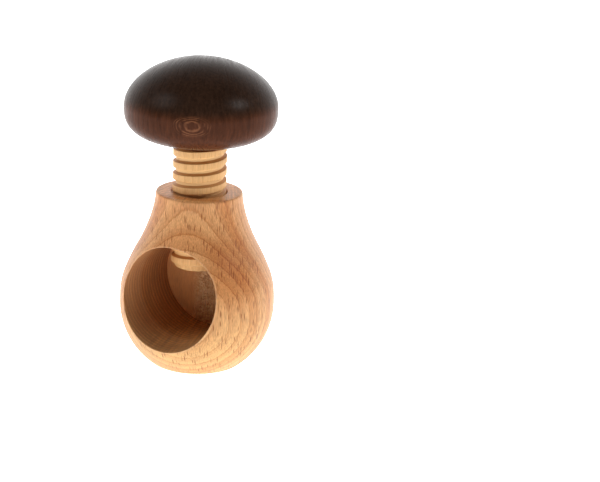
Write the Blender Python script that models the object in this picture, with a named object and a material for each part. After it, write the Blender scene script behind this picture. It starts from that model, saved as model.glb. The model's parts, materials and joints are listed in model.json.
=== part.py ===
"""Mushroom-shaped screw nutcracker of turned beech, in metres, +Z up.

The nut goes into a chamber bored sideways into the housing. Turning the cap drives the threaded
spindle down through the housing's neck until its tip cracks the nut against the chamber's floor.

The origin is the middle of the foot, +Z is the screw's axis and the chamber opens towards -Y.
The spindle is modelled 4.1 turns above its closed position.
"""

import math

import bmesh
import bpy

MM = 0.001

# Housing, a turned body with a neck
BELLY_RADIUS = 35.0 * MM
BELLY_HEIGHT = 29.0 * MM                # height of the widest circle
NECK_HEIGHT = 80.6 * MM                 # height of the neck's end face
FLARE_RADII = (34.1, 30.2, 25.0, 21.2)  # at even heights between the belly and the neck's end
NECK_RADIUS = 19.5 * MM
NECK_ROUNDING = 0.9 * MM

# Nut chamber, a flat-ended bore across the housing
CHAMBER_RADIUS = 23.3 * MM
CHAMBER_HEIGHT = 36.6 * MM
CHAMBER_BACK = 13.0 * MM                # from the screw's axis back to the end wall

# Screw thread, right-hand, one start
PITCH = 5.5 * MM
CREST_RADIUS = 12.1 * MM
THREAD_DEPTH = 1.4 * MM
CREST_WIDTH = 2.8 * MM
ROOT_WIDTH = 1.0 * MM
THREAD_DATUM = 79.0 * MM                # a crest's middle crosses the +X side at this height
THREAD_CLEARANCE = 0.35 * MM            # radially, between spindle and neck
FLANK_CLEARANCE = 0.1 * MM              # along the axis, on each side of a crest
MOUTH_CHAMFER = 0.8 * MM

# Cap, a turned dome over a rounded underside
CAP_RADIUS = 34.3 * MM
CAP_RISE = 21.8 * MM                    # from the widest circle to the top
CAP_DROP = 16.2 * MM                    # from the widest circle down to the underside
DOME_POWER = 1.9                        # 2 is an ellipse, more is squarer
UNDERSIDE_POWER = 2.95
SOCKET_DEPTH = 20.0 * MM

# Spindle
SPINDLE_REACH = 57.8 * MM               # from the cap's underside to the tip
TIP_RADIUS = 10.6 * MM
TIP_LENGTH = 2.1 * MM                   # plain end below the thread
TIP_CHAMFER = 0.8 * MM
TENON_RADIUS = 10.2 * MM
TENON_LENGTH = 19.0 * MM

# Fits
CLOSED_GAP = 0.35 * MM                  # underside to neck when closed
TURNS_OPEN = 4.1
SEAT_GAP = 0.3 * MM                     # between pieces that touch
GLUE_THICKNESS = 0.4 * MM

# Facets, in multiples of four so that each outline reaches its full radius on both axes
TURNED_STEPS = 64
THREAD_STEPS = 32
ARC_STEPS = 9
FLARE_STEPS = 3                         # for each length between two flare radii
WELD = 0.001 * MM

UNDERSIDE_HEIGHT = NECK_HEIGHT + CLOSED_GAP + TURNS_OPEN * PITCH
FLANK_WIDTH = (PITCH - CREST_WIDTH - ROOT_WIDTH) / 2
SOCKET_RADIUS = TENON_RADIUS + 2 * SEAT_GAP + GLUE_THICKNESS


def clear_scene():
    for item in list(bpy.data.objects):
        bpy.data.objects.remove(item, do_unlink=True)


def wood(name, colour, roughness):
    """A plain material; colour is linear red, green and blue."""
    material = bpy.data.materials.new(name)
    material.use_nodes = True
    shader = material.node_tree.nodes["Principled BSDF"]
    shader.inputs["Base Color"].default_value = (*colour, 1.0)
    shader.inputs["Roughness"].default_value = roughness
    shader.inputs["Metallic"].default_value = 0.0
    return material


def new_object(name, mesh_data, material=None):
    """Make an object of a bmesh, shaded smooth apart from its edges."""
    bmesh.ops.recalc_face_normals(mesh_data, faces=mesh_data.faces)
    mesh = bpy.data.meshes.new(name)
    mesh_data.to_mesh(mesh)
    mesh_data.free()
    mesh.shade_smooth()
    mesh.set_sharp_from_angle(angle=math.radians(35))
    if material:
        mesh.materials.append(material)
    item = bpy.data.objects.new(name, mesh)
    bpy.context.scene.collection.objects.link(item)
    return item


def make_tool(item):
    """Mark an object as a cutter or a stock shape that isn't a piece."""
    item.hide_render = True
    item.display_type = "WIRE"
    return item


def turned(name, outline, material=None, steps=TURNED_STEPS):
    """Turn (radius, height) points about the Z axis; both ends of the outline lie on the axis."""
    mesh_data = bmesh.new()
    verts = [mesh_data.verts.new((radius, 0.0, height)) for radius, height in outline]
    edges = [mesh_data.edges.new(pair) for pair in zip(verts, verts[1:])]
    bmesh.ops.spin(mesh_data, geom=verts + edges, cent=(0, 0, 0), axis=(0, 0, 1),
                   angle=math.tau, steps=steps, use_merge=True)
    bmesh.ops.remove_doubles(mesh_data, verts=mesh_data.verts, dist=WELD)
    return new_object(name, mesh_data, material)


def threaded_bar(name, crest_radius, root_radius, crest_width, bottom, top):
    """A bar with a right-hand thread whose ends run past bottom and top."""
    first = math.floor((bottom - THREAD_DATUM) / PITCH) - 1
    turns = math.ceil((top - bottom) / PITCH) + 3
    start = THREAD_DATUM + first * PITCH
    crest = crest_width / 2
    root = crest + FLANK_WIDTH
    section = ((root_radius, -root), (crest_radius, -crest), (crest_radius, crest),
               (root_radius, root), (root_radius, PITCH - root))

    mesh_data = bmesh.new()
    verts = [mesh_data.verts.new((radius, 0.0, start + height)) for radius, height in section]
    edges = [mesh_data.edges.new(pair) for pair in zip(verts, verts[1:])]
    steps = THREAD_STEPS * turns
    bmesh.ops.spin(mesh_data, geom=verts + edges, cent=(0, 0, 0), axis=(0, 0, 1),
                   dvec=(0, 0, PITCH / THREAD_STEPS), angle=math.tau * turns, steps=steps)
    bmesh.ops.remove_doubles(mesh_data, verts=mesh_data.verts, dist=WELD)
    close_end(mesh_data, start + PITCH / 2 - root)
    close_end(mesh_data, start + PITCH * turns + PITCH / 2 - root)
    return new_object(name, mesh_data)


def close_end(mesh_data, height):
    """Fan the nearest open end of a threaded bar to a point on the axis."""
    centre = mesh_data.verts.new((0.0, 0.0, height))
    rim = [edge for edge in mesh_data.edges if edge.is_boundary
           and all(abs(vert.co.z - height) < 1.5 * PITCH for vert in edge.verts)]
    for edge in rim:
        mesh_data.faces.new((*edge.verts, centre))


def boolean(item, operation, tool):
    """Add a live Boolean of item with tool."""
    modifier = item.modifiers.new(tool.name, "BOOLEAN")
    modifier.operation = operation
    modifier.solver = "EXACT"
    modifier.object = tool


def cylinder_outline(radius, bottom, top):
    return [(0.0, bottom), (radius, bottom), (radius, top), (0.0, top)]


def arc(radius, centre_r, centre_z, start, end, steps):
    """Points of an arc in the (radius, height) plane, angles from the outward direction."""
    angles = [start + (end - start) * step / steps for step in range(steps + 1)]
    return [(centre_r + radius * math.cos(a), centre_z + radius * math.sin(a)) for a in angles]


def flare(radii, bottom, top):
    """A smooth outline through radii at even heights, upright at both ends."""
    spacing = (top - bottom) / (len(radii) - 1)
    slopes = [(after - before) / 2 for before, after in zip(radii, radii[2:])]
    slopes = [0.0, *slopes, 0.0]
    points = []
    for index in range(len(radii) - 1):
        for step in range(1, FLARE_STEPS + 1):
            t = step / FLARE_STEPS
            radius = ((1 + 2 * t) * (1 - t) ** 2 * radii[index]
                      + t * (1 - t) ** 2 * slopes[index]
                      + t * t * (3 - 2 * t) * radii[index + 1]
                      + t * t * (t - 1) * slopes[index + 1])
            points.append((radius, bottom + (index + t) * spacing))
    return points


def housing_outline():
    foot_angle = -math.asin(BELLY_HEIGHT / BELLY_RADIUS)
    bowl = arc(BELLY_RADIUS, 0.0, BELLY_HEIGHT, foot_angle, 0.0, ARC_STEPS)
    radii = [BELLY_RADIUS, *(radius * MM for radius in FLARE_RADII), NECK_RADIUS]
    neck = flare(radii, BELLY_HEIGHT, NECK_HEIGHT)[:-1]
    rim = arc(NECK_ROUNDING, NECK_RADIUS - NECK_ROUNDING, NECK_HEIGHT - NECK_ROUNDING,
              0.0, math.pi / 2, 2)
    return [(0.0, 0.0), *bowl, *neck, *rim, (0.0, NECK_HEIGHT)]


def chamber_cutter():
    """A cylinder lying along Y, from the chamber's end wall out past the housing's front."""
    length = CHAMBER_BACK + BELLY_RADIUS * 1.5
    cutter = turned("chamber_cutter", cylinder_outline(CHAMBER_RADIUS, 0.0, length))
    cutter.rotation_euler = (math.pi / 2, 0.0, 0.0)
    cutter.location = (0.0, CHAMBER_BACK, CHAMBER_HEIGHT)
    return make_tool(cutter)


def neck_cutter():
    """The threaded bore's shape: the spindle's thread, grown by its clearances."""
    roof = CHAMBER_HEIGHT + CHAMBER_RADIUS
    crest_radius = CREST_RADIUS + THREAD_CLEARANCE
    crest_width = CREST_WIDTH + 2 * FLANK_CLEARANCE
    return make_tool(threaded_bar("neck_cutter", crest_radius, crest_radius - THREAD_DEPTH, crest_width,
                                  roof - 2 * PITCH, NECK_HEIGHT + PITCH))


def mouth_cutter():
    """A cone that chamfers the bore's mouth."""
    bottom = NECK_HEIGHT - MOUTH_CHAMFER
    radius = CREST_RADIUS + THREAD_CLEARANCE
    outline = [(0.0, bottom), (radius, bottom), (radius + 2 * MOUTH_CHAMFER, bottom + 2 * MOUTH_CHAMFER),
               (0.0, bottom + 2 * MOUTH_CHAMFER)]
    return make_tool(turned("mouth_cutter", outline))


def housing(material):
    item = turned("housing", housing_outline(), material)
    for cutter in (chamber_cutter(), neck_cutter(), mouth_cutter()):
        boolean(item, "DIFFERENCE", cutter)
    return item


def spindle(material):
    """The threaded spindle: a bar cut to length, with a plain tip and a tenon for the cap."""
    tip = UNDERSIDE_HEIGHT - SPINDLE_REACH
    shoulder = UNDERSIDE_HEIGHT - SEAT_GAP
    thread_end = tip + TIP_LENGTH
    item = threaded_bar("spindle", CREST_RADIUS, CREST_RADIUS - THREAD_DEPTH, CREST_WIDTH, thread_end, shoulder)
    item.data.materials.append(material)
    stock = make_tool(turned("spindle_length", cylinder_outline(CREST_RADIUS + PITCH, thread_end, shoulder)))
    outline = [(0.0, tip), (TIP_RADIUS - TIP_CHAMFER, tip), (TIP_RADIUS, tip + TIP_CHAMFER),
               (TIP_RADIUS, thread_end + TIP_LENGTH), (TENON_RADIUS, thread_end + 2 * TIP_LENGTH),
               (TENON_RADIUS, UNDERSIDE_HEIGHT + TENON_LENGTH), (0.0, UNDERSIDE_HEIGHT + TENON_LENGTH)]
    core = make_tool(turned("spindle_core", outline, steps=THREAD_STEPS))
    boolean(item, "INTERSECT", stock)
    boolean(item, "UNION", core)
    return item


def superellipse(radius, rise, power, steps):
    """Points from the widest circle to the axis of a dome, without its last point."""
    angles = [math.pi / 2 * step / steps for step in range(steps)]
    return [(radius * math.cos(a) ** (2 / power), rise * math.sin(a) ** (2 / power)) for a in angles]


def cap(material):
    """The turned cap, blind-bored from below for the spindle's tenon."""
    widest = UNDERSIDE_HEIGHT + CAP_DROP
    dome = [(r, widest + z) for r, z in superellipse(CAP_RADIUS, CAP_RISE, DOME_POWER, 2 * ARC_STEPS)]
    under = [(r, widest - z) for r, z in superellipse(CAP_RADIUS, CAP_DROP, UNDERSIDE_POWER, 2 * ARC_STEPS)
             if r > CREST_RADIUS + 2 * MOUTH_CHAMFER]
    roof = UNDERSIDE_HEIGHT + SOCKET_DEPTH
    outline = [(0.0, roof), (SOCKET_RADIUS, roof), (SOCKET_RADIUS, UNDERSIDE_HEIGHT),
               (CREST_RADIUS + MOUTH_CHAMFER, UNDERSIDE_HEIGHT), *under[:0:-1], *dome,
               (0.0, widest + CAP_RISE)]
    return turned("cap", outline, material)


def glue_line(material):
    """The cured glue between the tenon and its socket, a thin upturned cup."""
    inner = TENON_RADIUS + SEAT_GAP
    outer = inner + GLUE_THICKNESS
    bottom = UNDERSIDE_HEIGHT + SEAT_GAP
    roof = UNDERSIDE_HEIGHT + TENON_LENGTH + SEAT_GAP
    outline = [(0.0, roof), (inner, roof), (inner, bottom), (outer, bottom),
               (outer, roof + GLUE_THICKNESS), (0.0, roof + GLUE_THICKNESS)]
    return turned("glue_line", outline, material, steps=THREAD_STEPS)


def main():
    clear_scene()
    screw_axis = bpy.data.objects.new("screw_axis", None)
    bpy.context.scene.collection.objects.link(screw_axis)
    housing(wood("natural_beech", (0.60, 0.34, 0.16), 0.5))
    pieces = (
        spindle(wood("pale_beech", (0.65, 0.42, 0.19), 0.55)),
        cap(wood("stained_beech", (0.045, 0.016, 0.008), 0.35)),
        glue_line(wood("wood_glue", (0.55, 0.45, 0.25), 0.4)),
    )
    for piece in pieces:
        piece.parent = screw_axis


main()
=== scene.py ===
"""A mushroom-shaped screw nutcracker of turned beech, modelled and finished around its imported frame."""

import json
import math

import bpy
from mathutils import Matrix, Vector


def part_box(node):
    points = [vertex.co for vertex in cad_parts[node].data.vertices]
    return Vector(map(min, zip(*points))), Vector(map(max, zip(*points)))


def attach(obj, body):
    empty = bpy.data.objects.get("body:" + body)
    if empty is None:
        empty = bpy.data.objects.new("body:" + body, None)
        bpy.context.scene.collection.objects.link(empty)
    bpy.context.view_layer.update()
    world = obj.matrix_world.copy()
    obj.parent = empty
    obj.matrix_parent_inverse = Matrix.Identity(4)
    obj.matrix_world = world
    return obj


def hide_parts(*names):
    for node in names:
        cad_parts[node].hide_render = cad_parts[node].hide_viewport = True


bl_info = {
    "name": "Screw Nutcracker",
    "version": (1, 0, 0),
    "blender": (4, 5, 0),
    "location": "View3D > Sidebar > Nutcracker",
    "description": "Turns a beech nutcracker with a threaded spindle and a stained cap",
    "category": "Object",
}

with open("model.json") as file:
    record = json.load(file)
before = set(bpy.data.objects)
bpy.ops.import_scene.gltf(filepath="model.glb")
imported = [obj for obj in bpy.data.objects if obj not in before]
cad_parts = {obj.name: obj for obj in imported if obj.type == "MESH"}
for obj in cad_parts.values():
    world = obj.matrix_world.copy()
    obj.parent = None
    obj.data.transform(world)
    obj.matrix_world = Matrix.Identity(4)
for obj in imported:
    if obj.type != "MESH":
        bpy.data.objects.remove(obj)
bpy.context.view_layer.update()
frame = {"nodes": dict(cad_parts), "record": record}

MM = 0.001
HOUSING_LOW, HOUSING_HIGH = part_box("housing")
SPINDLE_LOW, SPINDLE_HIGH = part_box("spindle")
CAP_LOW, CAP_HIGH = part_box("cap")
PITCH = frame["record"]["behaviour"]["couplings"][0]["ratio"] * math.tau
WELD = 0.001 * MM


# ---------------------------------------------------------------- sizes and colours

def srgb(code):
    """Linear red, green and blue of an sRGB hex colour."""
    values = [int(code[place:place + 2], 16) / 255 for place in (1, 3, 5)]
    return tuple(v / 12.92 if v <= 0.04045 else ((v + 0.055) / 1.055) ** 2.4 for v in values)


def length(name, default, description):
    return bpy.props.FloatProperty(name=name, description=description, default=default, min=0.0,
                                   precision=5, subtype="DISTANCE", unit="LENGTH")


def angle(name, degrees, description):
    return bpy.props.FloatProperty(name=name, description=description, default=math.radians(degrees),
                                   subtype="ANGLE", unit="ROTATION")


def colour(name, code, description):
    return bpy.props.FloatVectorProperty(name=name, description=description, default=srgb(code), size=3,
                                         min=0.0, max=1.0, subtype="COLOR")


def amount(name, default, description):
    return bpy.props.FloatProperty(name=name, description=description, default=default, min=0.0)


class HousingSettings(bpy.types.PropertyGroup):
    belly_radius: length("Belly Radius", HOUSING_HIGH.x, "Radius of the widest circle")
    belly_height: length("Belly Height", 29.0 * MM, "Height of the widest circle above the foot")
    neck_radius: length("Neck Radius", 19.5 * MM, "Radius of the neck's end")
    neck_height: length("Neck Height", HOUSING_HIGH.z, "Height of the neck's end face")
    neck_rounding: length("Neck Rounding", 0.9 * MM, "Radius of the neck's rim")
    foot_rounding: length("Foot Rounding", 0.7 * MM, "Height of the softened edge round the foot")
    chamber_radius: length("Chamber Radius", 23.3 * MM, "Radius of the nut chamber's bore")
    chamber_height: length("Chamber Height", 36.6 * MM, "Height of the chamber's axis")
    chamber_back: length("Chamber Back", 13.0 * MM, "Distance of the end wall behind the screw's axis")
    mouth_rounding: length("Mouth Rounding", 0.45 * MM, "Radius of the sanded edge of the mouth")
    clearance: length("Thread Clearance", 0.35 * MM, "Radial play of the spindle in the neck")
    early_wood: colour("Early Wood", "#cf9763", "Wide pale part of each growth ring")
    late_wood: colour("Late Wood", "#ad7041", "Thin darker line that ends each growth ring")
    rays: colour("Rays", "#80461f", "Short dark flecks of the ray cells")
    ring_width: length("Ring Width", 2.7 * MM, "Thickness of a growth ring")
    pith_distance: length("Pith Distance", 61.0 * MM, "From the screw's axis to the tree's pith")
    pith_bearing: angle("Pith Bearing", 106.0, "Which way the pith lies, round from the +X side")


class SpindleSettings(bpy.types.PropertyGroup):
    crest_radius: length("Crest Radius", SPINDLE_HIGH.x, "Radius over the thread")
    thread_depth: length("Thread Depth", 1.4 * MM, "Depth of the thread's groove")
    crest_width: length("Crest Width", 2.8 * MM, "Width of the flat on the thread")
    root_width: length("Root Width", 1.0 * MM, "Width of the groove's floor")
    crest_rounding: length("Crest Rounding", 0.35 * MM, "Radius of the worn thread edges")
    datum: length("Thread Datum", 79.0 * MM, "Height where a crest's middle crosses the +X side")
    tip_radius: length("Tip Radius", 10.6 * MM, "Radius of the plain end")
    tip_length: length("Tip Length", 2.1 * MM, "Length of the plain end below the thread")
    early_wood: colour("Early Wood", "#deae74", "Pale straw colour of the bare, cut wood")
    late_wood: colour("Late Wood", "#d09c62", "Darker lines of the bare wood")
    rays: colour("Rays", "#b07c4a", "Short dark flecks of the ray cells")
    groove: colour("Groove", "#d8ad76", "Floor of the thread's groove")
    # Flank is end grain's colour, but only upward-facing flanks get it, so it is also painted shade where
    # little light reaches them from above
    flank: colour("Flank", "#b07c48", "Rough end grain on the thread's flanks")
    ring_width: length("Ring Width", 1.6 * MM, "Thickness of a growth ring")
    pith_distance: length("Pith Distance", 38.0 * MM, "From the screw's axis to the tree's pith")
    pith_bearing: angle("Pith Bearing", 60.0, "Which way the pith lies, round from the +X side")


class CapSettings(bpy.types.PropertyGroup):
    radius: length("Radius", CAP_HIGH.x, "Radius of the widest circle")
    rise: length("Rise", 21.8 * MM, "Height of the dome above the widest circle")
    dome_power: amount("Dome Power", 1.9, "Squareness of the dome; 2 is an ellipse")
    underside_power: amount("Underside Power", 2.95, "Squareness of the underside; 2 is an ellipse")
    socket_radius: length("Socket Radius", 11.2 * MM, "Radius of the blind bore for the tenon")
    socket_depth: length("Socket Depth", 20.0 * MM, "Depth of the blind bore for the tenon")
    stain: colour("Stain", "#462617", "Reddish brown stain on side grain")
    # Dense stain is the soaked end grain's colour, but only upward-facing surfaces get it, so it is also
    # painted shade on the cap's top
    dense_stain_and_shade: colour("Dense Stain", "#2f1f16", "Stain where open end grain has soaked up more of it")
    grain: colour("Grain", "#8d5c40", "Thin lines where the stain has taken less")
    ring_width: length("Ring Width", 0.9 * MM, "Thickness of a growth ring")
    pith_distance: length("Pith Distance", 46.0 * MM, "From the screw's axis to the tree's pith")
    pith_bearing: angle("Pith Bearing", 112.6, "Which way the pith lies, round from the +X side")


class StageSettings(bpy.types.PropertyGroup):
    azimuth: angle("Azimuth", 29.0, "How far round from the chamber's mouth the camera stands")
    elevation: angle("Elevation", 20.4, "How high the camera stands above the foot")
    distance: length("Distance", 1.056, "From the camera to the middle of the foot")
    pan: angle("Pan", 2.597, "How far to the right of the foot the camera is aimed")
    tilt: angle("Tilt", 2.947, "How far above the foot the camera is aimed")
    roll: angle("Roll", 1.2, "Tilt of the camera about its line to the foot")
    focal_length: amount("Focal Length", 138.0, "In millimetres, on a sensor 36 mm wide")
    backdrop: amount("Backdrop", 2.5, "Brightness of the light tent behind the object")
    opening: amount("Opening", 0.05, "Brightness of the tent's open side, where the camera stands")
    overhead: amount("Overhead", 0.25, "Brightness of the tent's roof, as a share of its walls")
    floor_glow: amount("Floor Glow", 1.7, "Brightness of the lit table")
    left_lamp: amount("Left Lamp", 2.6, "Power of the broad lamp on the left, in watts")
    right_lamp: amount("Right Lamp", 2.9, "Power of the small lamp on the right, in watts")


# ---------------------------------------------------------------- modelling helpers

def start_fresh():
    """Leave edit mode and deselect everything."""
    if bpy.context.mode != "OBJECT":
        bpy.ops.object.mode_set(mode="OBJECT")
    bpy.ops.object.select_all(action="DESELECT")


def draw_line(name, points):
    """Draw an open line through (radius, height) points in the XZ plane by extruding a vertex."""
    start_fresh()
    radius, height = points[0]
    bpy.ops.mesh.primitive_plane_add(size=MM, location=(radius, 0.0, height))
    item = bpy.context.object
    item.name = name
    bpy.ops.object.mode_set(mode="EDIT")
    bpy.ops.mesh.select_all(action="SELECT")
    bpy.ops.mesh.merge(type="CENTER")
    for before, after in zip(points, points[1:]):
        step = (after[0] - before[0], 0.0, after[1] - before[1])
        bpy.ops.mesh.extrude_vertices_move(TRANSFORM_OT_translate={"value": step})
    bpy.ops.object.mode_set(mode="OBJECT")
    bpy.ops.object.transform_apply(location=True, rotation=True, scale=True)
    return item


def apply_modifier(item, kind, **settings):
    """Add one modifier to the active object and apply it."""
    bpy.context.view_layer.objects.active = item
    modifier = item.modifiers.new(kind.lower(), kind)
    for name, value in settings.items():
        setattr(modifier, name, value)
    bpy.ops.object.modifier_apply(modifier=modifier.name)


def close_mesh(item):
    """Merge doubled points and turn every face outwards."""
    start_fresh()
    item.select_set(True)
    bpy.context.view_layer.objects.active = item
    bpy.ops.object.mode_set(mode="EDIT")
    bpy.ops.mesh.select_all(action="SELECT")
    bpy.ops.mesh.remove_doubles(threshold=WELD)
    bpy.ops.mesh.normals_make_consistent(inside=False)
    bpy.ops.object.mode_set(mode="OBJECT")


def lathe(name, points, steps=256):
    """Turn a line about the Z axis into a closed solid."""
    item = draw_line(name, points)
    apply_modifier(item, "SCREW", axis="Z", angle=math.tau, steps=steps, render_steps=steps,
                   use_merge_vertices=True, merge_threshold=WELD)
    close_mesh(item)
    return item


def cut(item, tool, operation="DIFFERENCE"):
    """Apply a Boolean with a tool and delete the tool."""
    start_fresh()
    item.select_set(True)
    apply_modifier(item, "BOOLEAN", object=tool, operation=operation, solver="EXACT")
    start_fresh()
    tool.select_set(True)
    bpy.ops.object.delete()


def finish_piece(item, material, body, node, crease=32.0):
    """Shade a piece, give it its material and say what it stands for."""
    start_fresh()
    item.select_set(True)
    bpy.context.view_layer.objects.active = item
    bpy.ops.object.shade_smooth_by_angle(angle=math.radians(crease))
    item.data.materials.clear()
    item.data.materials.append(material)
    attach(item, body)
    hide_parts(node)
    item.select_set(False)


def arc(radius, centre, start, end, steps):
    """Points of an arc about a (radius, height) centre, with angles from the outward direction."""
    turns = [math.radians(start + (end - start) * step / steps) for step in range(steps + 1)]
    return [(centre[0] + radius * math.cos(t), centre[1] + radius * math.sin(t)) for t in turns]


def flare(radii, bottom, top, steps):
    """A smooth line through radii at even heights, upright at both ends."""
    spacing = (top - bottom) / (len(radii) - 1)
    slopes = [0.0, *((after - before) / 2 for before, after in zip(radii, radii[2:])), 0.0]
    points = []
    for index in range(len(radii) - 1):
        for step in range(1, steps + 1):
            t = step / steps
            radius = ((1 + 2 * t) * (1 - t) ** 2 * radii[index] + t * (1 - t) ** 2 * slopes[index]
                      + t * t * (3 - 2 * t) * radii[index + 1] + t * t * (t - 1) * slopes[index + 1])
            points.append((radius, bottom + (index + t) * spacing))
    return points


def superellipse(radius, rise, power, steps):
    """Points from the widest circle of a dome to just short of its axis."""
    turns = [math.pi / 2 * step / steps for step in range(steps)]
    return [(radius * math.cos(t) ** (2 / power), rise * math.sin(t) ** (2 / power)) for t in turns]


def threaded_bar(name, crest_radius, crest_width, bottom, top, settings):
    """A solid bar with a right-hand thread with rounded edges, cut square at both ends."""
    depth, rounding = settings.thread_depth, settings.crest_rounding
    flank = (PITCH - settings.crest_width - settings.root_width) / 2
    slope = math.degrees(math.atan2(flank, depth))
    tangent = rounding * math.tan(math.radians((90 - slope) / 2))
    crest, root = crest_width / 2, crest_width / 2 + flank
    root_radius = crest_radius - depth
    upper_crest = arc(rounding, (crest_radius - rounding, crest - tangent), 0, 90 - slope, 4)
    upper_root = arc(rounding, (root_radius + rounding, root + tangent), 270 - slope, 180, 3)
    half = [(crest_radius, 0.0), *upper_crest, *upper_root]
    lower = [(radius, -height) for radius, height in reversed(half[1:])]
    shift = settings.datum - PITCH * math.ceil((settings.datum - bottom) / PITCH + 2)
    section = [(radius, height + shift) for radius, height in (*lower, *half)]
    section.append((section[0][0], section[0][1] + PITCH))

    item = draw_line(name, section)
    turns = math.ceil((top - bottom) / PITCH) + 4
    steps = 96
    apply_modifier(item, "SCREW", axis="Z", angle=math.tau, screw_offset=PITCH, iterations=turns,
                   steps=steps, render_steps=steps, use_merge_vertices=False)
    close_mesh(item)
    bpy.ops.object.mode_set(mode="EDIT")
    for height, side in ((bottom, {"clear_inner": True}), (top, {"clear_outer": True})):
        bpy.ops.mesh.select_all(action="SELECT")
        bpy.ops.mesh.bisect(plane_co=(0.0, 0.0, height), plane_no=(0.0, 0.0, 1.0), use_fill=True,
                            threshold=0.1 * WELD, **side)
    bpy.ops.object.mode_set(mode="OBJECT")
    close_mesh(item)
    return item


# ---------------------------------------------------------------- materials
# A colour is a hex value; a tint multiplies a colour, so it is a plain tuple that may go over 1

def add(tree, kind, *values, sockets=None, output=0, **settings):
    """Add a node with its settings and links, and return one of its outputs, if it has any.

    Values go to the node's first sockets in order, others are given by name; None leaves one as it is.
    """
    item = tree.nodes.new(kind)
    for name, value in settings.items():
        setattr(item, name, value)
    inlets = [socket for socket in item.inputs if socket.enabled]
    pairs = [*zip(inlets, values), *((item.inputs[name], value) for name, value in (sockets or {}).items())]
    for socket, value in pairs:
        if isinstance(value, bpy.types.NodeSocket):
            tree.links.new(value, socket)
        elif value is not None:
            socket.default_value = value
    if isinstance(output, str):
        return item.outputs[output]
    outlets = [socket for socket in item.outputs if socket.enabled]
    return outlets[output] if outlets else None


def new_material(name):
    """A new material, its node tree and its Principled shader."""
    material = bpy.data.materials.new(name)
    material.use_nodes = True
    return material, material.node_tree, material.node_tree.nodes["Principled BSDF"]


def per_mm(*sizes):
    """A mapping scale that makes one unit of a pattern as long as each size in millimetres."""
    return tuple(1 / (size * MM) for size in sizes)


def pith_at(settings):
    """Where the tree's pith stood, from the screw's axis, in plan."""
    distance, bearing = settings.pith_distance, settings.pith_bearing
    return distance * math.cos(bearing), distance * math.sin(bearing)


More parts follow.
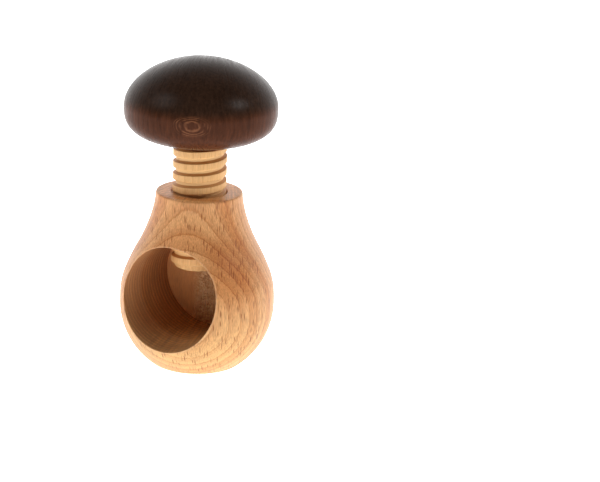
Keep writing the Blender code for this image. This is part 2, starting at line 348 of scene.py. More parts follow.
def beech_figure(tree, settings, wander):
    """Beech's figure about an upright pith: place, height, reach and outward, then masks from 0 to 1."""
    pith = pith_at(settings)
    place = add(tree, "ShaderNodeTexCoord", output="Object")
    height = add(tree, "ShaderNodeSeparateXYZ", place, output=2)
    # Growth is uneven: the rings wander a little, slowly along the trunk
    slow = add(tree, "ShaderNodeMapping", place, sockets={"Scale": per_mm(30, 30, 110)})
    swell = add(tree, "ShaderNodeTexNoise", slow, 1.0, 2.0, output=1)
    centred = add(tree, "ShaderNodeVectorMath", swell, (0.5, 0.5, 0.5), operation="SUBTRACT")
    moved = add(tree, "ShaderNodeVectorMath", centred, (wander * MM,) * 3, place, operation="MULTIPLY_ADD")
    flat = add(tree, "ShaderNodeMapping", moved,
               sockets={"Location": (-pith[0], -pith[1], 0.0), "Scale": (1.0, 1.0, 0.0)})
    # Their edges fray along the fibres
    strands = add(tree, "ShaderNodeMapping", place, sockets={"Scale": per_mm(0.7, 0.7, 6)})
    fray = add(tree, "ShaderNodeTexNoise", strands, 1.0, 1.0)
    true_reach = add(tree, "ShaderNodeVectorMath", flat, operation="LENGTH")
    reach = add(tree, "ShaderNodeMath", fray, 0.5 * MM, true_reach, operation="MULTIPLY_ADD")
    east = add(tree, "ShaderNodeSeparateXYZ", flat, output=0)
    north = add(tree, "ShaderNodeSeparateXYZ", flat, output=1)
    heading = add(tree, "ShaderNodeMath", north, east, operation="ARCTAN2")

    # Rings: pale early wood darkens slowly and ends in a thin line, bolder in some years than in others
    count = add(tree, "ShaderNodeMath", reach, settings.ring_width, operation="DIVIDE")
    year = add(tree, "ShaderNodeMath", count, operation="FLOOR")
    season = add(tree, "ShaderNodeMath", count, operation="FRACT")
    vigour = add(tree, "ShaderNodeTexWhiteNoise", year, noise_dimensions="1D")
    body = add(tree, "ShaderNodeMapRange", season, 0.15, 0.85, 0.0, 0.45, interpolation_type="SMOOTHSTEP")
    late = add(tree, "ShaderNodeMapRange", season, 0.78, 0.93, interpolation_type="SMOOTHSTEP")
    fresh = add(tree, "ShaderNodeMapRange", season, 0.95, 1.0, 1.0, 0.0, interpolation_type="SMOOTHSTEP")
    dark = add(tree, "ShaderNodeMath", body, late, operation="MAXIMUM")
    line = add(tree, "ShaderNodeMath", dark, fresh, operation="MULTIPLY")
    strength = add(tree, "ShaderNodeMapRange", vigour, 0.0, 1.0, 0.55, 1.0)
    rings = add(tree, "ShaderNodeMath", line, strength, operation="MULTIPLY")

    # Rays: plates of cells that run out from the pith, seen edge on as short upright flecks
    along = add(tree, "ShaderNodeMath", heading, settings.pith_distance, operation="MULTIPLY")
    polar = add(tree, "ShaderNodeCombineXYZ", along, height, reach)
    plates = add(tree, "ShaderNodeMapping", polar, sockets={"Scale": per_mm(0.62, 6.5, 1.0)})
    near = add(tree, "ShaderNodeTexVoronoi", plates, 1.0, output="Distance", voronoi_dimensions="2D")
    chance = add(tree, "ShaderNodeTexVoronoi", plates, 1.0, output="Color", voronoi_dimensions="2D")
    length_of_ray = add(tree, "ShaderNodeMapping", polar, sockets={"Scale": per_mm(1.6, 6.0, 5.0)})
    broken = add(tree, "ShaderNodeTexNoise", length_of_ray, 1.0, 1.0)
    deep = add(tree, "ShaderNodeMapRange", broken, 0.38, 0.58, interpolation_type="SMOOTHSTEP")
    kept = add(tree, "ShaderNodeMapRange", add(tree, "ShaderNodeSeparateXYZ", chance), 0.1, 0.8)
    core = add(tree, "ShaderNodeMapRange", near, 0.13, 0.37, 1.0, 0.0, interpolation_type="SMOOTHSTEP")
    shown = add(tree, "ShaderNodeMath", deep, kept, operation="MULTIPLY")
    rays = add(tree, "ShaderNodeMath", core, shown, operation="MULTIPLY")

    # Silk: the same plates cut across, as fine lines that fan out from the pith on end grain
    fan = add(tree, "ShaderNodeMapping", polar, sockets={"Scale": per_mm(0.9, 9.0, 16.0)})
    silk = add(tree, "ShaderNodeTexNoise", fan, 1.0, 3.0, 0.6)
    # Fibres and fine pores, drawn about three times their real width of 0.1 mm so that they show
    streaks = add(tree, "ShaderNodeMapping", place, sockets={"Scale": per_mm(0.38, 0.38, 3.4)})
    fibres = add(tree, "ShaderNodeTexNoise", streaks, 1.0, 3.0, 0.6)
    clouds = add(tree, "ShaderNodeMapping", place, sockets={"Scale": per_mm(18, 18, 45)})
    drift = add(tree, "ShaderNodeTexNoise", clouds, 1.0, 2.0)
    outward = add(tree, "ShaderNodeVectorMath", flat, operation="NORMALIZE")
    return {"place": place, "height": height, "reach": reach, "outward": outward, "rings": rings,
            "rays": rays, "silk": silk, "fibres": fibres, "drift": drift}


def natural_beech(settings):
    """Beech, turned, sanded and oiled: warm tan, arched rings, many dark ray flecks, a soft satin gloss."""
    material, tree, shader = new_material("oiled beech")
    figure = beech_figure(tree, settings, 1.0)
    place = figure["place"]
    inside, mouth_highlight, marks, bare = chamber_wall(tree, place, settings)
    open_air = add(tree, "ShaderNodeMapRange", inside, 0.0, 1.0, 1.0, 0.2)
    rings = add(tree, "ShaderNodeMath", figure["rings"], open_air, operation="MULTIPLY")
    tone = add(tree, "ShaderNodeMix", rings, (*settings.early_wood, 1), (*settings.late_wood, 1),
               data_type="RGBA")
    seen = add(tree, "ShaderNodeMapRange", inside, 0.0, 1.0, 0.85, 0.3)
    # Rays show as dark flecks end on, and fade where the surface runs along them
    normal = add(tree, "ShaderNodeNewGeometry", output="Normal")
    turned = add(tree, "ShaderNodeVectorMath", normal, figure["outward"], operation="DOT_PRODUCT")
    end_on = add(tree, "ShaderNodeMapRange", add(tree, "ShaderNodeMath", turned, operation="ABSOLUTE"),
                 0.25, 0.7, 0.12, 1.0)
    showing = add(tree, "ShaderNodeMath", seen, end_on, operation="MULTIPLY")
    flecks = add(tree, "ShaderNodeMath", figure["rays"], showing, operation="MULTIPLY")
    tone = add(tree, "ShaderNodeMix", flecks, tone, (*settings.rays, 1), data_type="RGBA")
    streak = add(tree, "ShaderNodeMapRange", figure["fibres"], 0.32, 0.68, 0.72, 1.18)
    marked = add(tree, "ShaderNodeMapRange", inside, 0.0, 1.0, 1.0, 0.35)
    tone = add(tree, "ShaderNodeMix", marked, tone, streak, data_type="RGBA", blend_type="MULTIPLY")
    cloud = add(tree, "ShaderNodeMapRange", figure["drift"], 0.3, 0.7, 0.93, 1.06)
    tone = add(tree, "ShaderNodeMix", 1.0, tone, cloud, data_type="RGBA", blend_type="MULTIPLY")

    # Two runs of years grew redder wood, which follows the rings down beside the mouth
    redder = (0.84, 0.66, 0.50, 1.0)
    for years, spread, strength in ((84.3 * MM, 1.6 * MM, 0.45), (75.6 * MM, 1.8 * MM, 0.75)):
        apart = add(tree, "ShaderNodeMath", figure["reach"], years, operation="SUBTRACT")
        off_years = add(tree, "ShaderNodeMath", apart, operation="ABSOLUTE")
        red = add(tree, "ShaderNodeMapRange", off_years, 0.4 * spread, 1.7 * spread, strength, 0.0,
                  interpolation_type="SMOOTHSTEP")
        redness = add(tree, "ShaderNodeMath", red, open_air, operation="MULTIPLY")
        tone = add(tree, "ShaderNodeMix", redness, tone, redder, data_type="RGBA", blend_type="MULTIPLY")
    # The heartwood comes nearest to the surface beside the mouth, and its darker, redder patch there is
    # also painted shade; the foot is made lighter and yellower, which is painted light
    patch_middle = (28.5 * MM, -10.5 * MM, 55.5 * MM)
    wander = add(tree, "ShaderNodeTexNoise", place, *per_mm(11.1), 2.0, output=1)
    strays = add(tree, "ShaderNodeVectorMath", wander, (7 * MM,) * 3, place, operation="MULTIPLY_ADD")
    away = add(tree, "ShaderNodeVectorMath", strays, patch_middle, operation="SUBTRACT")
    shares = add(tree, "ShaderNodeVectorMath", away, per_mm(13, 13, 19), operation="MULTIPLY")
    aside = add(tree, "ShaderNodeVectorMath", shares, operation="LENGTH")
    heartwood_and_shade = add(tree, "ShaderNodeMapRange", aside, 0.35, 1.35, 0.95, 0.0, interpolation_type="SMOOTHSTEP")
    tone = add(tree, "ShaderNodeMix", heartwood_and_shade, tone, redder, data_type="RGBA", blend_type="MULTIPLY")
    # Painted light: the lower part is made lighter and yellower, as if lit by the glowing table
    painted_floor_light = add(tree, "ShaderNodeMapRange", figure["height"], 10 * MM, 44 * MM, 1.0, 0.0)
    tone = add(tree, "ShaderNodeMix", painted_floor_light, tone, (1.0, 1.17, 1.14, 1.0), data_type="RGBA",
               blend_type="MULTIPLY")

    # Oil soaks into the cut fibre ends of the neck's end face, and the rays fan across it; the lighter
    # patches of that fan are also painted sheen
    upright = add(tree, "ShaderNodeSeparateXYZ", normal, output=2)
    across = add(tree, "ShaderNodeMapRange", upright, 0.75, 0.97, interpolation_type="SMOOTHSTEP")
    fan = add(tree, "ShaderNodeMapRange", figure["silk"], 0.35, 0.65, 0.80, 1.25)
    end_grain_and_sheen = add(tree, "ShaderNodeMix", 1.0, (0.98, 1.0, 0.94, 1.0), fan, data_type="RGBA",
               blend_type="MULTIPLY")
    tone = add(tree, "ShaderNodeMix", across, tone, end_grain_and_sheen, data_type="RGBA", blend_type="MULTIPLY")

    # The chamber's walls are painted darker and redder, which is painted shade inside it; its rounded edge
    # gets a pale line, which is a painted highlight
    tone = add(tree, "ShaderNodeMix", inside, tone, bare, data_type="RGBA", blend_type="MULTIPLY")
    tone = add(tree, "ShaderNodeMix", mouth_highlight, tone, (*srgb("#ecc79c"), 1), data_type="RGBA")
    tree.links.new(tone, shader.inputs["Base Color"])

    worn = add(tree, "ShaderNodeMapRange", figure["fibres"], 0.3, 0.7, 0.40, 0.52)
    gloss = add(tree, "ShaderNodeMath", inside, 0.15, worn, operation="MULTIPLY_ADD")
    tree.links.new(gloss, shader.inputs["Roughness"])
    shader.inputs["IOR"].default_value = 1.5
    shader.inputs["Specular IOR Level"].default_value = 0.25
    pores = add(tree, "ShaderNodeMath", figure["rays"], -0.6, figure["fibres"], operation="MULTIPLY_ADD")
    relief = add(tree, "ShaderNodeBump", sockets={"Height": pores, "Strength": 0.5, "Distance": 0.12 * MM})
    tooled = add(tree, "ShaderNodeBump", sockets={
        "Height": marks, "Strength": inside, "Distance": 0.14 * MM, "Normal": relief})
    tree.links.new(tooled, shader.inputs["Normal"])
    return material


def chamber_wall(tree, place, settings):
    """Masks of the nut chamber's walls and of the painted highlight on its mouth's edge, and the walls'
    tool marks and painted shade.
    """
    radius, back = settings.chamber_radius, settings.chamber_back
    centred = add(tree, "ShaderNodeMapping", place, sockets={
        "Location": (0.0, 0.0, -settings.chamber_height), "Scale": (1.0, 0.0, 1.0)})
    from_axis = add(tree, "ShaderNodeVectorMath", centred, operation="LENGTH")
    depth = add(tree, "ShaderNodeSeparateXYZ", place, output=1)
    within = add(tree, "ShaderNodeMapRange", from_axis, radius + 0.02 * MM, radius + 0.15 * MM, 1.0, 0.0)
    before = add(tree, "ShaderNodeMapRange", depth, back + 1.6 * MM, back + 3.0 * MM, 1.0, 0.0)
    inside = add(tree, "ShaderNodeMath", within, before, operation="MULTIPLY")
    # A pale line painted along the mouth's rounded edge is a painted highlight, where that edge catches the
    # light
    ring = radius + 0.6 * settings.mouth_rounding
    off_ring = add(tree, "ShaderNodeMath", from_axis, ring, operation="SUBTRACT")
    close = add(tree, "ShaderNodeMath", off_ring, operation="ABSOLUTE")
    sanded = add(tree, "ShaderNodeMapRange", close, 0.15 * MM, 0.45 * MM, 0.18, 0.0)
    front = add(tree, "ShaderNodeMapRange", depth, -12 * MM, -10 * MM, 1.0, 0.0)
    mouth_highlight = add(tree, "ShaderNodeMath", sanded, front, operation="MULTIPLY")
    # The cutter was fed about 2.2 mm a turn, which left shallow uneven rings along the bore
    loose = add(tree, "ShaderNodeMapping", place, sockets={"Scale": per_mm(11, 2.6, 11)})
    uneven = add(tree, "ShaderNodeTexNoise", loose, 1.0, 2.0)
    feed = add(tree, "ShaderNodeMath", depth, math.tau / (2.2 * MM), uneven, operation="MULTIPLY_ADD")
    ridges = add(tree, "ShaderNodeMath", feed, operation="SINE")
    deeper = add(tree, "ShaderNodeMapRange", uneven, 0.35, 0.65, 0.1, 0.7)
    rings = add(tree, "ShaderNodeMath", ridges, deeper, uneven, operation="MULTIPLY_ADD")
    # Its flat end tore the fibres of the end wall, worst at the right-hand side
    end = add(tree, "ShaderNodeMapRange", depth, back - 0.3 * MM, back - 0.05 * MM)
    side = add(tree, "ShaderNodeMapRange", add(tree, "ShaderNodeSeparateXYZ", place), -10 * MM, -4 * MM)
    rough = add(tree, "ShaderNodeTexNoise", place, *per_mm(1.43), 3.0, 0.7, sockets={"Distortion": 1.5})
    ragged = add(tree, "ShaderNodeMapRange", rough, 0.36, 0.56, 0.15, 1.0)
    torn = add(tree, "ShaderNodeMath", add(tree, "ShaderNodeMath", end, side, operation="MULTIPLY"), ragged,
               operation="MULTIPLY")
    marks = add(tree, "ShaderNodeMath", torn, 3.0, rings, operation="MULTIPLY_ADD")
    valleys = add(tree, "ShaderNodeMapRange", rings, 0.1, 0.8, 0.80, 1.06)
    shade = add(tree, "ShaderNodeMix", end, valleys, 1.5)
    # The walls' brown tint is painted shade, greyer where the fibres are torn; the tool rings' valleys get
    # painted shade too, and the end wall is made half as bright again
    brown, ash = (0.74, 0.62, 0.55, 1.0), (1.0, 1.18, 1.5, 1.0)
    bare = add(tree, "ShaderNodeMix", torn, brown, ash, data_type="RGBA")
    bare = add(tree, "ShaderNodeMix", 1.0, bare, shade, data_type="RGBA", blend_type="MULTIPLY")
    return inside, mouth_highlight, marks, bare


def bare_beech(settings):
    """Beech, bare from the threading tool: pale straw crests, rough darker end grain on the flanks."""
    material, tree, shader = new_material("bare beech")
    figure = beech_figure(tree, settings, 1.0)
    tone = add(tree, "ShaderNodeMix", figure["rings"], (*settings.early_wood, 1), (*settings.late_wood, 1),
               data_type="RGBA")
    flecks = add(tree, "ShaderNodeMath", figure["rays"], 0.4, operation="MULTIPLY")
    tone = add(tree, "ShaderNodeMix", flecks, tone, (*settings.rays, 1), data_type="RGBA")
    streak = add(tree, "ShaderNodeMapRange", figure["fibres"], 0.3, 0.7, 0.88, 1.08)
    tone = add(tree, "ShaderNodeMix", 1.0, tone, streak, data_type="RGBA", blend_type="MULTIPLY")

    flat = add(tree, "ShaderNodeMapping", figure["place"], sockets={"Scale": (1.0, 1.0, 0.0)})
    out = add(tree, "ShaderNodeVectorMath", flat, operation="LENGTH")
    thread_end = SPINDLE_LOW.z + settings.tip_length
    threaded = add(tree, "ShaderNodeMapRange", figure["height"], thread_end, thread_end + 0.3 * MM)
    sunk = add(tree, "ShaderNodeMapRange", out, settings.crest_radius - 0.5 * MM,
               settings.crest_radius - 0.15 * MM, 1.0, 0.0)
    groove = add(tree, "ShaderNodeMath", sunk, threaded, operation="MULTIPLY")
    tone = add(tree, "ShaderNodeMix", groove, tone, (*settings.groove, 1), data_type="RGBA")
    # Upward-facing flanks get the darker end-grain colour, which is also painted shade where little light
    # reaches them from above
    normal = add(tree, "ShaderNodeNewGeometry", output="Normal")
    upright = add(tree, "ShaderNodeSeparateXYZ", normal, output=2)
    steep = add(tree, "ShaderNodeMapRange", upright, 0.25, 0.6)
    flank = add(tree, "ShaderNodeMath", steep, threaded, operation="MULTIPLY")
    tone = add(tree, "ShaderNodeMix", flank, tone, (*settings.flank, 1), data_type="RGBA")

    # The spindle is painted a darker brown just under the cap, with a ragged edge along the fibres
    soaked = add(tree, "ShaderNodeMath", figure["fibres"], 0.8 * MM, figure["height"],
                 operation="MULTIPLY_ADD")
    stained = add(tree, "ShaderNodeMapRange", soaked, CAP_LOW.z - 1.7 * MM, CAP_LOW.z - 1.3 * MM, 0.0, 0.9)
    tone = add(tree, "ShaderNodeMix", stained, tone, (0.36, 0.18, 0.11, 1.0), data_type="RGBA",
               blend_type="MULTIPLY")
    tree.links.new(tone, shader.inputs["Base Color"])
    shader.inputs["Roughness"].default_value = 0.58
    shader.inputs["Specular IOR Level"].default_value = 0.25
    relief = add(tree, "ShaderNodeBump", sockets={"Height": figure["fibres"], "Strength": 0.6,
                                                  "Distance": 0.18 * MM})
    tree.links.new(relief, shader.inputs["Normal"])
    return material


def stained_beech(settings):
    """Beech, stained dark brown under satin lacquer: nearly black end grain, redder streaked side grain;
    the darker tone goes only on upward-facing surfaces, so it is also painted shade on the top.
    """
    material, tree, shader = new_material("stained beech")
    figure = beech_figure(tree, settings, 1.2)
    normal = add(tree, "ShaderNodeNewGeometry", output="Normal")
    upright = add(tree, "ShaderNodeSeparateXYZ", normal, output=2)
    # Upward-facing surfaces get the dense stain for end grain and as painted shade; the underside keeps the
    # lighter stain
    across = add(tree, "ShaderNodeMapRange", upright, 0.02, 0.45, interpolation_type="SMOOTHSTEP")
    tone = add(tree, "ShaderNodeMix", across, (*settings.stain, 1), (*settings.dense_stain_and_shade, 1),
               data_type="RGBA")
    bands = add(tree, "ShaderNodeMapping", figure["place"], sockets={"Scale": per_mm(1.3, 1.3, 14)})
    uptake = add(tree, "ShaderNodeTexNoise", bands, 1.0, 3.0, 0.65)
    lighter = add(tree, "ShaderNodeMapRange", uptake, 0.35, 0.68, 0.78, 1.35)
    tone = add(tree, "ShaderNodeMix", 1.0, tone, lighter, data_type="RGBA", blend_type="MULTIPLY")
    cloud = add(tree, "ShaderNodeMapRange", figure["drift"], 0.3, 0.7, 0.85, 1.15)
    tone = add(tree, "ShaderNodeMix", 1.0, tone, cloud, data_type="RGBA", blend_type="MULTIPLY")
    layers = grazed_layers(tree, figure["place"], settings)
    eye = add(tree, "ShaderNodeMath", layers, 0.5, operation="MULTIPLY")
    tone = add(tree, "ShaderNodeMix", eye, tone, (*settings.grain, 1), data_type="RGBA")
    tree.links.new(tone, shader.inputs["Base Color"])

    gloss = add(tree, "ShaderNodeMapRange", figure["silk"], 0.38, 0.62, 0.25, 0.36)
    tree.links.new(gloss, shader.inputs["Roughness"])
    shader.inputs["IOR"].default_value = 1.5
    # The coat is so thin that its highlights are weak, though they are narrow
    shader.inputs["Specular IOR Level"].default_value = 0.048
    pores = add(tree, "ShaderNodeMath", figure["silk"], 2.0, figure["fibres"], operation="MULTIPLY_ADD")
    relief = add(tree, "ShaderNodeBump", sockets={"Height": pores, "Strength": 0.14, "Distance": 0.12 * MM})
    tree.links.new(relief, shader.inputs["Normal"])
    return material


def grazed_layers(tree, place, settings):
    """A small eye of thin pale lines, where the turned side just grazes the growth layers."""
    pith = pith_at(settings)
    flat = add(tree, "ShaderNodeMapping", place,
               sockets={"Location": (-pith[0], -pith[1], 0.0), "Scale": (1.0, 1.0, 0.0)})
    reach = add(tree, "ShaderNodeVectorMath", flat, operation="LENGTH")
    outermost = settings.pith_distance + settings.radius + 0.1 * MM
    depth = add(tree, "ShaderNodeMath", outermost, reach, operation="SUBTRACT")
    wobble = add(tree, "ShaderNodeTexNoise", place, *per_mm(2.22), 2.0)
    layer = 0.16 * MM
    uneven = add(tree, "ShaderNodeMath", wobble, 0.7 * layer, depth, operation="MULTIPLY_ADD")
    count = add(tree, "ShaderNodeMath", uneven, layer, operation="DIVIDE")
    phase = add(tree, "ShaderNodeMath", count, operation="FRACT")
    off = add(tree, "ShaderNodeMath", add(tree, "ShaderNodeMath", phase, 0.5, operation="SUBTRACT"),
              operation="ABSOLUTE")
    line = add(tree, "ShaderNodeMapRange", off, 0.08, 0.3, 1.0, 0.0)
    near = add(tree, "ShaderNodeMapRange", depth, 3.4 * layer, 4.6 * layer, 1.0, 0.0,
               interpolation_type="SMOOTHSTEP")
    patchy = add(tree, "ShaderNodeTexNoise", place, *per_mm(3.85), 1.0)
    broken = add(tree, "ShaderNodeMapRange", patchy, 0.28, 0.52)
    shown = add(tree, "ShaderNodeMath", near, broken, operation="MULTIPLY")
    return add(tree, "ShaderNodeMath", line, shown, operation="MULTIPLY")


def cured_glue():
    """Wood glue, cured: a lumpy amber film, almost all of it hidden in the joint."""
    material, tree, shader = new_material("cured wood glue")
    place = add(tree, "ShaderNodeTexCoord", output="Object")
    lumps = add(tree, "ShaderNodeTexNoise", place, *per_mm(2.5), 2.0)
    tone = add(tree, "ShaderNodeMix", lumps, (*srgb("#b9985a"), 1), (*srgb("#d8c08a"), 1), data_type="RGBA")
    tree.links.new(tone, shader.inputs["Base Color"])
    shader.inputs["Roughness"].default_value = 0.35
    relief = add(tree, "ShaderNodeBump", sockets={"Height": lumps, "Strength": 0.4, "Distance": 0.1 * MM})
    tree.links.new(relief, shader.inputs["Normal"])
    return material


# ---------------------------------------------------------------- pieces

class NUTCRACKER_OT_housing(bpy.types.Operator):
    """Turn the housing, bore its nut chamber and thread its neck"""

    bl_idname = "nutcracker.housing"
    bl_label = "Turn Housing"

    def execute(self, context):
        settings = context.scene.nutcracker_housing
        spindle = context.scene.nutcracker_spindle
        housing = lathe("turned_housing", self.outline(settings))
        cut(housing, self.chamber_cutter(settings, housing))
        crest_radius = spindle.crest_radius + settings.clearance
        groove_width = spindle.crest_width + 0.2 * MM
        roof = settings.chamber_height + settings.chamber_radius
        cut(housing, threaded_bar("neck_cutter", crest_radius, groove_width, roof - PITCH,
                                  settings.neck_height + PITCH, spindle))
        cut(housing, self.mouth_cutter(settings, crest_radius))
        close_mesh(housing)
        finish_piece(housing, natural_beech(settings), "housing_body", "housing")
        return {"FINISHED"}

    def outline(self, settings):
        """The housing's turned outline, from the middle of the foot up to the middle of the neck."""
        belly, height = settings.belly_radius, settings.belly_height
        foot = -math.degrees(math.asin((height - settings.foot_rounding) / belly))
        foot_radius = math.sqrt(belly ** 2 - height ** 2)
        bowl = arc(belly, (0.0, height), foot, 0.0, 40)
        neck = flare([belly, 34.1 * MM, 30.2 * MM, 25.0 * MM, 21.2 * MM, settings.neck_radius],
                     height, settings.neck_height, 9)[:-1]
        rounding = settings.neck_rounding
        rim = arc(rounding, (settings.neck_radius - rounding, settings.neck_height - rounding), 0, 90, 5)
        # The lathe's centre left a small dimple in the foot
        dimple = [(0.0, 0.9 * MM), (0.5 * MM, 0.8 * MM), (1.6 * MM, 0.12 * MM), (2.0 * MM, 0.0)]
        sole = [(foot_radius - 0.9 * MM, 0.0), (foot_radius - 0.25 * MM, 0.12 * MM)]
        return [*dimple, *sole, *bowl, *neck, *rim, (0.0, settings.neck_height)]

    def chamber_cutter(self, settings, housing):
        """A bar lying along Y with a flared end that rounds the mouth where it meets the housing."""
        radius, rounding = settings.chamber_radius, settings.mouth_rounding
        start_fresh()
        bpy.ops.mesh.primitive_circle_add(vertices=192, radius=radius, fill_type="NGON",
                                          location=(0.0, settings.chamber_back, settings.chamber_height),
                                          rotation=(math.pi / 2, 0.0, 0.0))
        cutter = bpy.context.object
        bpy.ops.object.transform_apply(location=True, rotation=True, scale=True)
        bpy.ops.object.mode_set(mode="EDIT")
        bpy.ops.mesh.select_all(action="SELECT")
        middle = (0.0, 0.0, settings.chamber_height)
        steps = 6
        turns = [math.pi / 2 * step / steps for step in range(steps)]
        growths = [*(rounding * (1 - math.cos(turn)) for turn in turns), rounding * 1.1]
        depths = [*(rounding * (1 - math.sin(turn)) for turn in turns), -rounding]
        front = -60.0 * MM
        reach = front - settings.chamber_back
        grown = 0.0
        # Each step of the rounded edge is a ring of points with a vertex group of its own
        for number, growth in enumerate(growths):
            bpy.ops.mesh.extrude_region_move(TRANSFORM_OT_translate={"value": (0.0, reach, 0.0)})
            size = (radius + growth) / (radius + grown)
            bpy.ops.transform.resize(value=(size, 1.0, size), center_override=middle)
            grown, reach = growth, -MM
            bpy.ops.object.vertex_group_remove_from(use_all_groups=True)
            cutter.vertex_groups.new(name=f"ring_{number}")
            bpy.ops.object.vertex_group_assign()
        bpy.ops.object.mode_set(mode="OBJECT")
        # The rings are laid along Y onto the housing, and all but the last are sunk into it
        for number in range(len(depths)):
            apply_modifier(cutter, "SHRINKWRAP", target=housing, wrap_method="PROJECT", use_project_y=True,
                           vertex_group=f"ring_{number}")
        bpy.ops.object.mode_set(mode="EDIT")
        for number, depth in enumerate(depths):
            bpy.ops.mesh.select_all(action="DESELECT")
            cutter.vertex_groups.active_index = number
            bpy.ops.object.vertex_group_select()
            bpy.ops.transform.translate(value=(0.0, depth, 0.0))
        bpy.ops.mesh.extrude_region_move(TRANSFORM_OT_translate={"value": (0.0, -30.0 * MM, 0.0)})
        bpy.ops.object.mode_set(mode="OBJECT")
        close_mesh(cutter)
        return cutter

    def mouth_cutter(self, settings, radius):
        """A ring that softens the edge of the threaded bore's mouth."""
        top, rounding = settings.neck_height, 0.7 * MM
        edge = arc(rounding, (radius + rounding, top - rounding), 180, 90, 5)
        points = [(0.0, top - rounding), *edge, (radius + rounding, top + MM), (0.0, top + MM)]
        return lathe("bore_mouth", points, 128)


class NUTCRACKER_OT_spindle(bpy.types.Operator):
    """Cut the threaded spindle with its plain tip and its tenon"""

    bl_idname = "nutcracker.spindle"
    bl_label = "Cut Spindle"

    def execute(self, context):
        settings = context.scene.nutcracker_spindle
        thread_end = SPINDLE_LOW.z + settings.tip_length
        shoulder = CAP_LOW.z - 0.3 * MM
        spindle = threaded_bar("threaded_spindle", settings.crest_radius, settings.crest_width,
                               thread_end, shoulder, settings)
        tip, top = SPINDLE_LOW.z, SPINDLE_HIGH.z
        radius, tenon, rounding, bevel = settings.tip_radius, 10.2 * MM, 0.8 * MM, 0.6 * MM
        dimple = [(0.0, tip + 0.3 * MM), (1.4 * MM, tip + 0.05 * MM), (2.0 * MM, tip)]
        edge = arc(rounding, (radius - rounding, tip + rounding), -90, 0, 5)
        inside_thread = [(radius, thread_end + 4 * MM), (tenon, thread_end + 6 * MM)]
        tenon_end = [(tenon, top - bevel), (tenon - bevel, top), (0.0, top)]
        core = lathe("spindle_core", [*dimple, *edge, *inside_thread, *tenon_end], 96)
        cut(spindle, core, "UNION")
        close_mesh(spindle)
        finish_piece(spindle, bare_beech(settings), "screw_body", "spindle")
        return {"FINISHED"}


class NUTCRACKER_OT_cap(bpy.types.Operator):
    """Turn the mushroom cap with its blind socket"""

    bl_idname = "nutcracker.cap"
    bl_label = "Turn Cap"

    def execute(self, context):
        settings = context.scene.nutcracker_cap
        widest = CAP_HIGH.z - settings.rise
        drop = widest - CAP_LOW.z
        dome = [(r, widest + z)
                for r, z in superellipse(settings.radius, settings.rise, settings.dome_power, 60)]
        under = [(r, widest - z)
                 for r, z in superellipse(settings.radius, drop, settings.underside_power, 60)
                 if r > settings.socket_radius + 2.2 * MM]
        roof = CAP_LOW.z + settings.socket_depth
        mouth = settings.socket_radius
        points = [(0.0, roof), (mouth, roof), (mouth, CAP_LOW.z + 0.4 * MM), (mouth + 0.4 * MM, CAP_LOW.z),
                  (mouth + 1.8 * MM, CAP_LOW.z), *under[:0:-1], *dome, (0.0, CAP_HIGH.z)]
        cap = lathe("mushroom_cap", points)
        finish_piece(cap, stained_beech(settings), "screw_body", "cap")
        return {"FINISHED"}


class NUTCRACKER_OT_glue(bpy.types.Operator):
    """Finish the glue line between the tenon and the cap"""

    bl_idname = "nutcracker.glue"
    bl_label = "Finish Glue Line"

    def execute(self, context):
        item = frame["nodes"]["glue_line"]
        item.data.materials.clear()
        item.data.materials.append(cured_glue())
        return {"FINISHED"}


# ---------------------------------------------------------------- stage

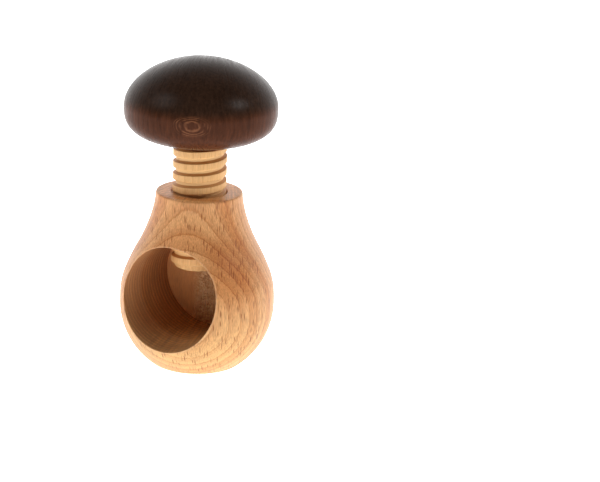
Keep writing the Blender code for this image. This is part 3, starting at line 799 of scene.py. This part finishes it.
class NUTCRACKER_OT_stage(bpy.types.Operator):
    """Set the lit table, the light tent, the side lamps and the camera"""

    bl_idname = "nutcracker.stage"
    bl_label = "Set Stage"

    def execute(self, context):
        settings = context.scene.nutcracker_stage
        self.table(settings)
        self.tent(context, settings)
        self.lamp("left_lamp", settings, aside=-76.0, height=45.0, size=0.50, power=settings.left_lamp)
        self.lamp("right_lamp", settings, aside=73.0, height=42.0, size=0.28, power=settings.right_lamp)
        self.camera(context, settings)
        context.scene.view_settings.view_transform = "Standard"
        return {"FINISHED"}

    def table(self, settings):
        """A sheet of opal acrylic lit from below, so evenly white that hardly a shadow shows on it."""
        start_fresh()
        bpy.ops.mesh.primitive_circle_add(vertices=96, radius=3.0, fill_type="NGON",
                                          location=(0.0, 0.0, 0.0))
        floor = bpy.context.object
        floor.name = "lit_table"
        material, tree, shader = new_material("opal acrylic")
        shader.inputs["Base Color"].default_value = (0.8, 0.8, 0.8, 1.0)
        shader.inputs["Roughness"].default_value = 0.7
        shader.inputs["Emission Color"].default_value = (1.0, 1.0, 1.0, 1.0)
        shader.inputs["Emission Strength"].default_value = settings.floor_glow
        floor.data.materials.append(material)

    def tent(self, context, settings):
        """White all round to the eye, but its light comes mostly from behind the nutcracker."""
        world = bpy.data.worlds.new("light tent")
        context.scene.world = world
        world.use_nodes = True
        tree = world.node_tree
        tree.nodes.clear()
        heading = add(tree, "ShaderNodeTexCoord", output="Generated")
        away = -view_direction(settings.azimuth, 0.0)
        facing = add(tree, "ShaderNodeVectorMath", heading, away, operation="DOT_PRODUCT")
        wall = add(tree, "ShaderNodeMapRange", facing, -0.1, 0.9, settings.opening, settings.backdrop,
                   interpolation_type="SMOOTHSTEP")
        rise = add(tree, "ShaderNodeSeparateXYZ", heading, output=2)
        roof = add(tree, "ShaderNodeMapRange", rise, 0.3, 0.8, 1.0, settings.overhead)
        glow = add(tree, "ShaderNodeMath", wall, roof, operation="MULTIPLY")
        seen = add(tree, "ShaderNodeLightPath", output="Is Camera Ray")
        full_white = 1.1
        strength = add(tree, "ShaderNodeMix", seen, glow, full_white, data_type="FLOAT")
        light = add(tree, "ShaderNodeBackground", (1.0, 1.0, 1.0, 1.0), strength)
        add(tree, "ShaderNodeOutputWorld", light)

    def lamp(self, name, settings, aside, height, size, power):
        """A round lamp, so many degrees to the right of the camera and so many above the table."""
        direction = view_direction(settings.azimuth + math.radians(aside), math.radians(height))
        aim, distance = Vector((0.0, 0.0, 80.0 * MM)), 0.9
        bpy.ops.object.light_add(type="AREA", location=aim + direction * distance)
        lamp = bpy.context.object
        lamp.name = name
        lamp.rotation_euler = direction.to_track_quat("Z", "Y").to_euler()
        lamp.data.shape = "DISK"
        lamp.data.size = size
        lamp.data.energy = power

    def camera(self, context, settings):
        """Stand the camera off the foot, then turn it aside so the foot falls low and to the left."""
        back = view_direction(settings.azimuth, settings.elevation)
        level = back.to_track_quat("Z", "Y").to_matrix().to_4x4()
        foot_seen = Vector((-math.tan(settings.pan), -math.tan(settings.tilt), -1.0))
        aside = foot_seen.rotation_difference(Vector((0.0, 0.0, -1.0))).to_matrix().to_4x4()
        roll = Matrix.Rotation(settings.roll, 4, "Z")
        bpy.ops.object.camera_add()
        camera = bpy.context.object
        camera.matrix_world = Matrix.Translation(back * settings.distance) @ level @ roll @ aside
        camera.data.sensor_width = 36.0
        camera.data.lens = settings.focal_length
        camera.data.dof.use_dof = False
        context.scene.camera = camera


def view_direction(azimuth, elevation):
    """From the object towards someone who stands at an azimuth round from the -Y side."""
    return Vector((math.sin(azimuth) * math.cos(elevation), -math.cos(azimuth) * math.cos(elevation),
                   math.sin(elevation)))


# ---------------------------------------------------------------- add-on

class NUTCRACKER_PT_panel(bpy.types.Panel):
    """Sizes, colours and steps of the nutcracker"""

    bl_idname = "NUTCRACKER_PT_panel"
    bl_label = "Screw Nutcracker"
    bl_space_type = "VIEW_3D"
    bl_region_type = "UI"
    bl_category = "Nutcracker"

    def draw(self, context):
        for operator, settings in STEPS:
            box = self.layout.box()
            box.operator(operator.bl_idname)
            if settings is None:
                continue
            group = getattr(context.scene, settings)
            for name in group.__annotations__:
                box.prop(group, name)


GROUPS = {
    "nutcracker_housing": HousingSettings,
    "nutcracker_spindle": SpindleSettings,
    "nutcracker_cap": CapSettings,
    "nutcracker_stage": StageSettings,
}
STEPS = (
    (NUTCRACKER_OT_housing, "nutcracker_housing"),
    (NUTCRACKER_OT_spindle, "nutcracker_spindle"),
    (NUTCRACKER_OT_cap, "nutcracker_cap"),
    (NUTCRACKER_OT_glue, None),
    (NUTCRACKER_OT_stage, "nutcracker_stage"),
)


def register():
    for name, group in GROUPS.items():
        bpy.utils.register_class(group)
        setattr(bpy.types.Scene, name, bpy.props.PointerProperty(type=group))
    for operator, _ in STEPS:
        bpy.utils.register_class(operator)
    bpy.utils.register_class(NUTCRACKER_PT_panel)


def unregister():
    bpy.utils.unregister_class(NUTCRACKER_PT_panel)
    for operator, _ in reversed(STEPS):
        bpy.utils.unregister_class(operator)
    for name, group in reversed(GROUPS.items()):
        delattr(bpy.types.Scene, name)
        bpy.utils.unregister_class(group)


def main():
    register()
    bpy.ops.nutcracker.housing()
    bpy.ops.nutcracker.spindle()
    bpy.ops.nutcracker.cap()
    bpy.ops.nutcracker.glue()
    bpy.ops.nutcracker.stage()


if __name__ == "__main__":
    main()
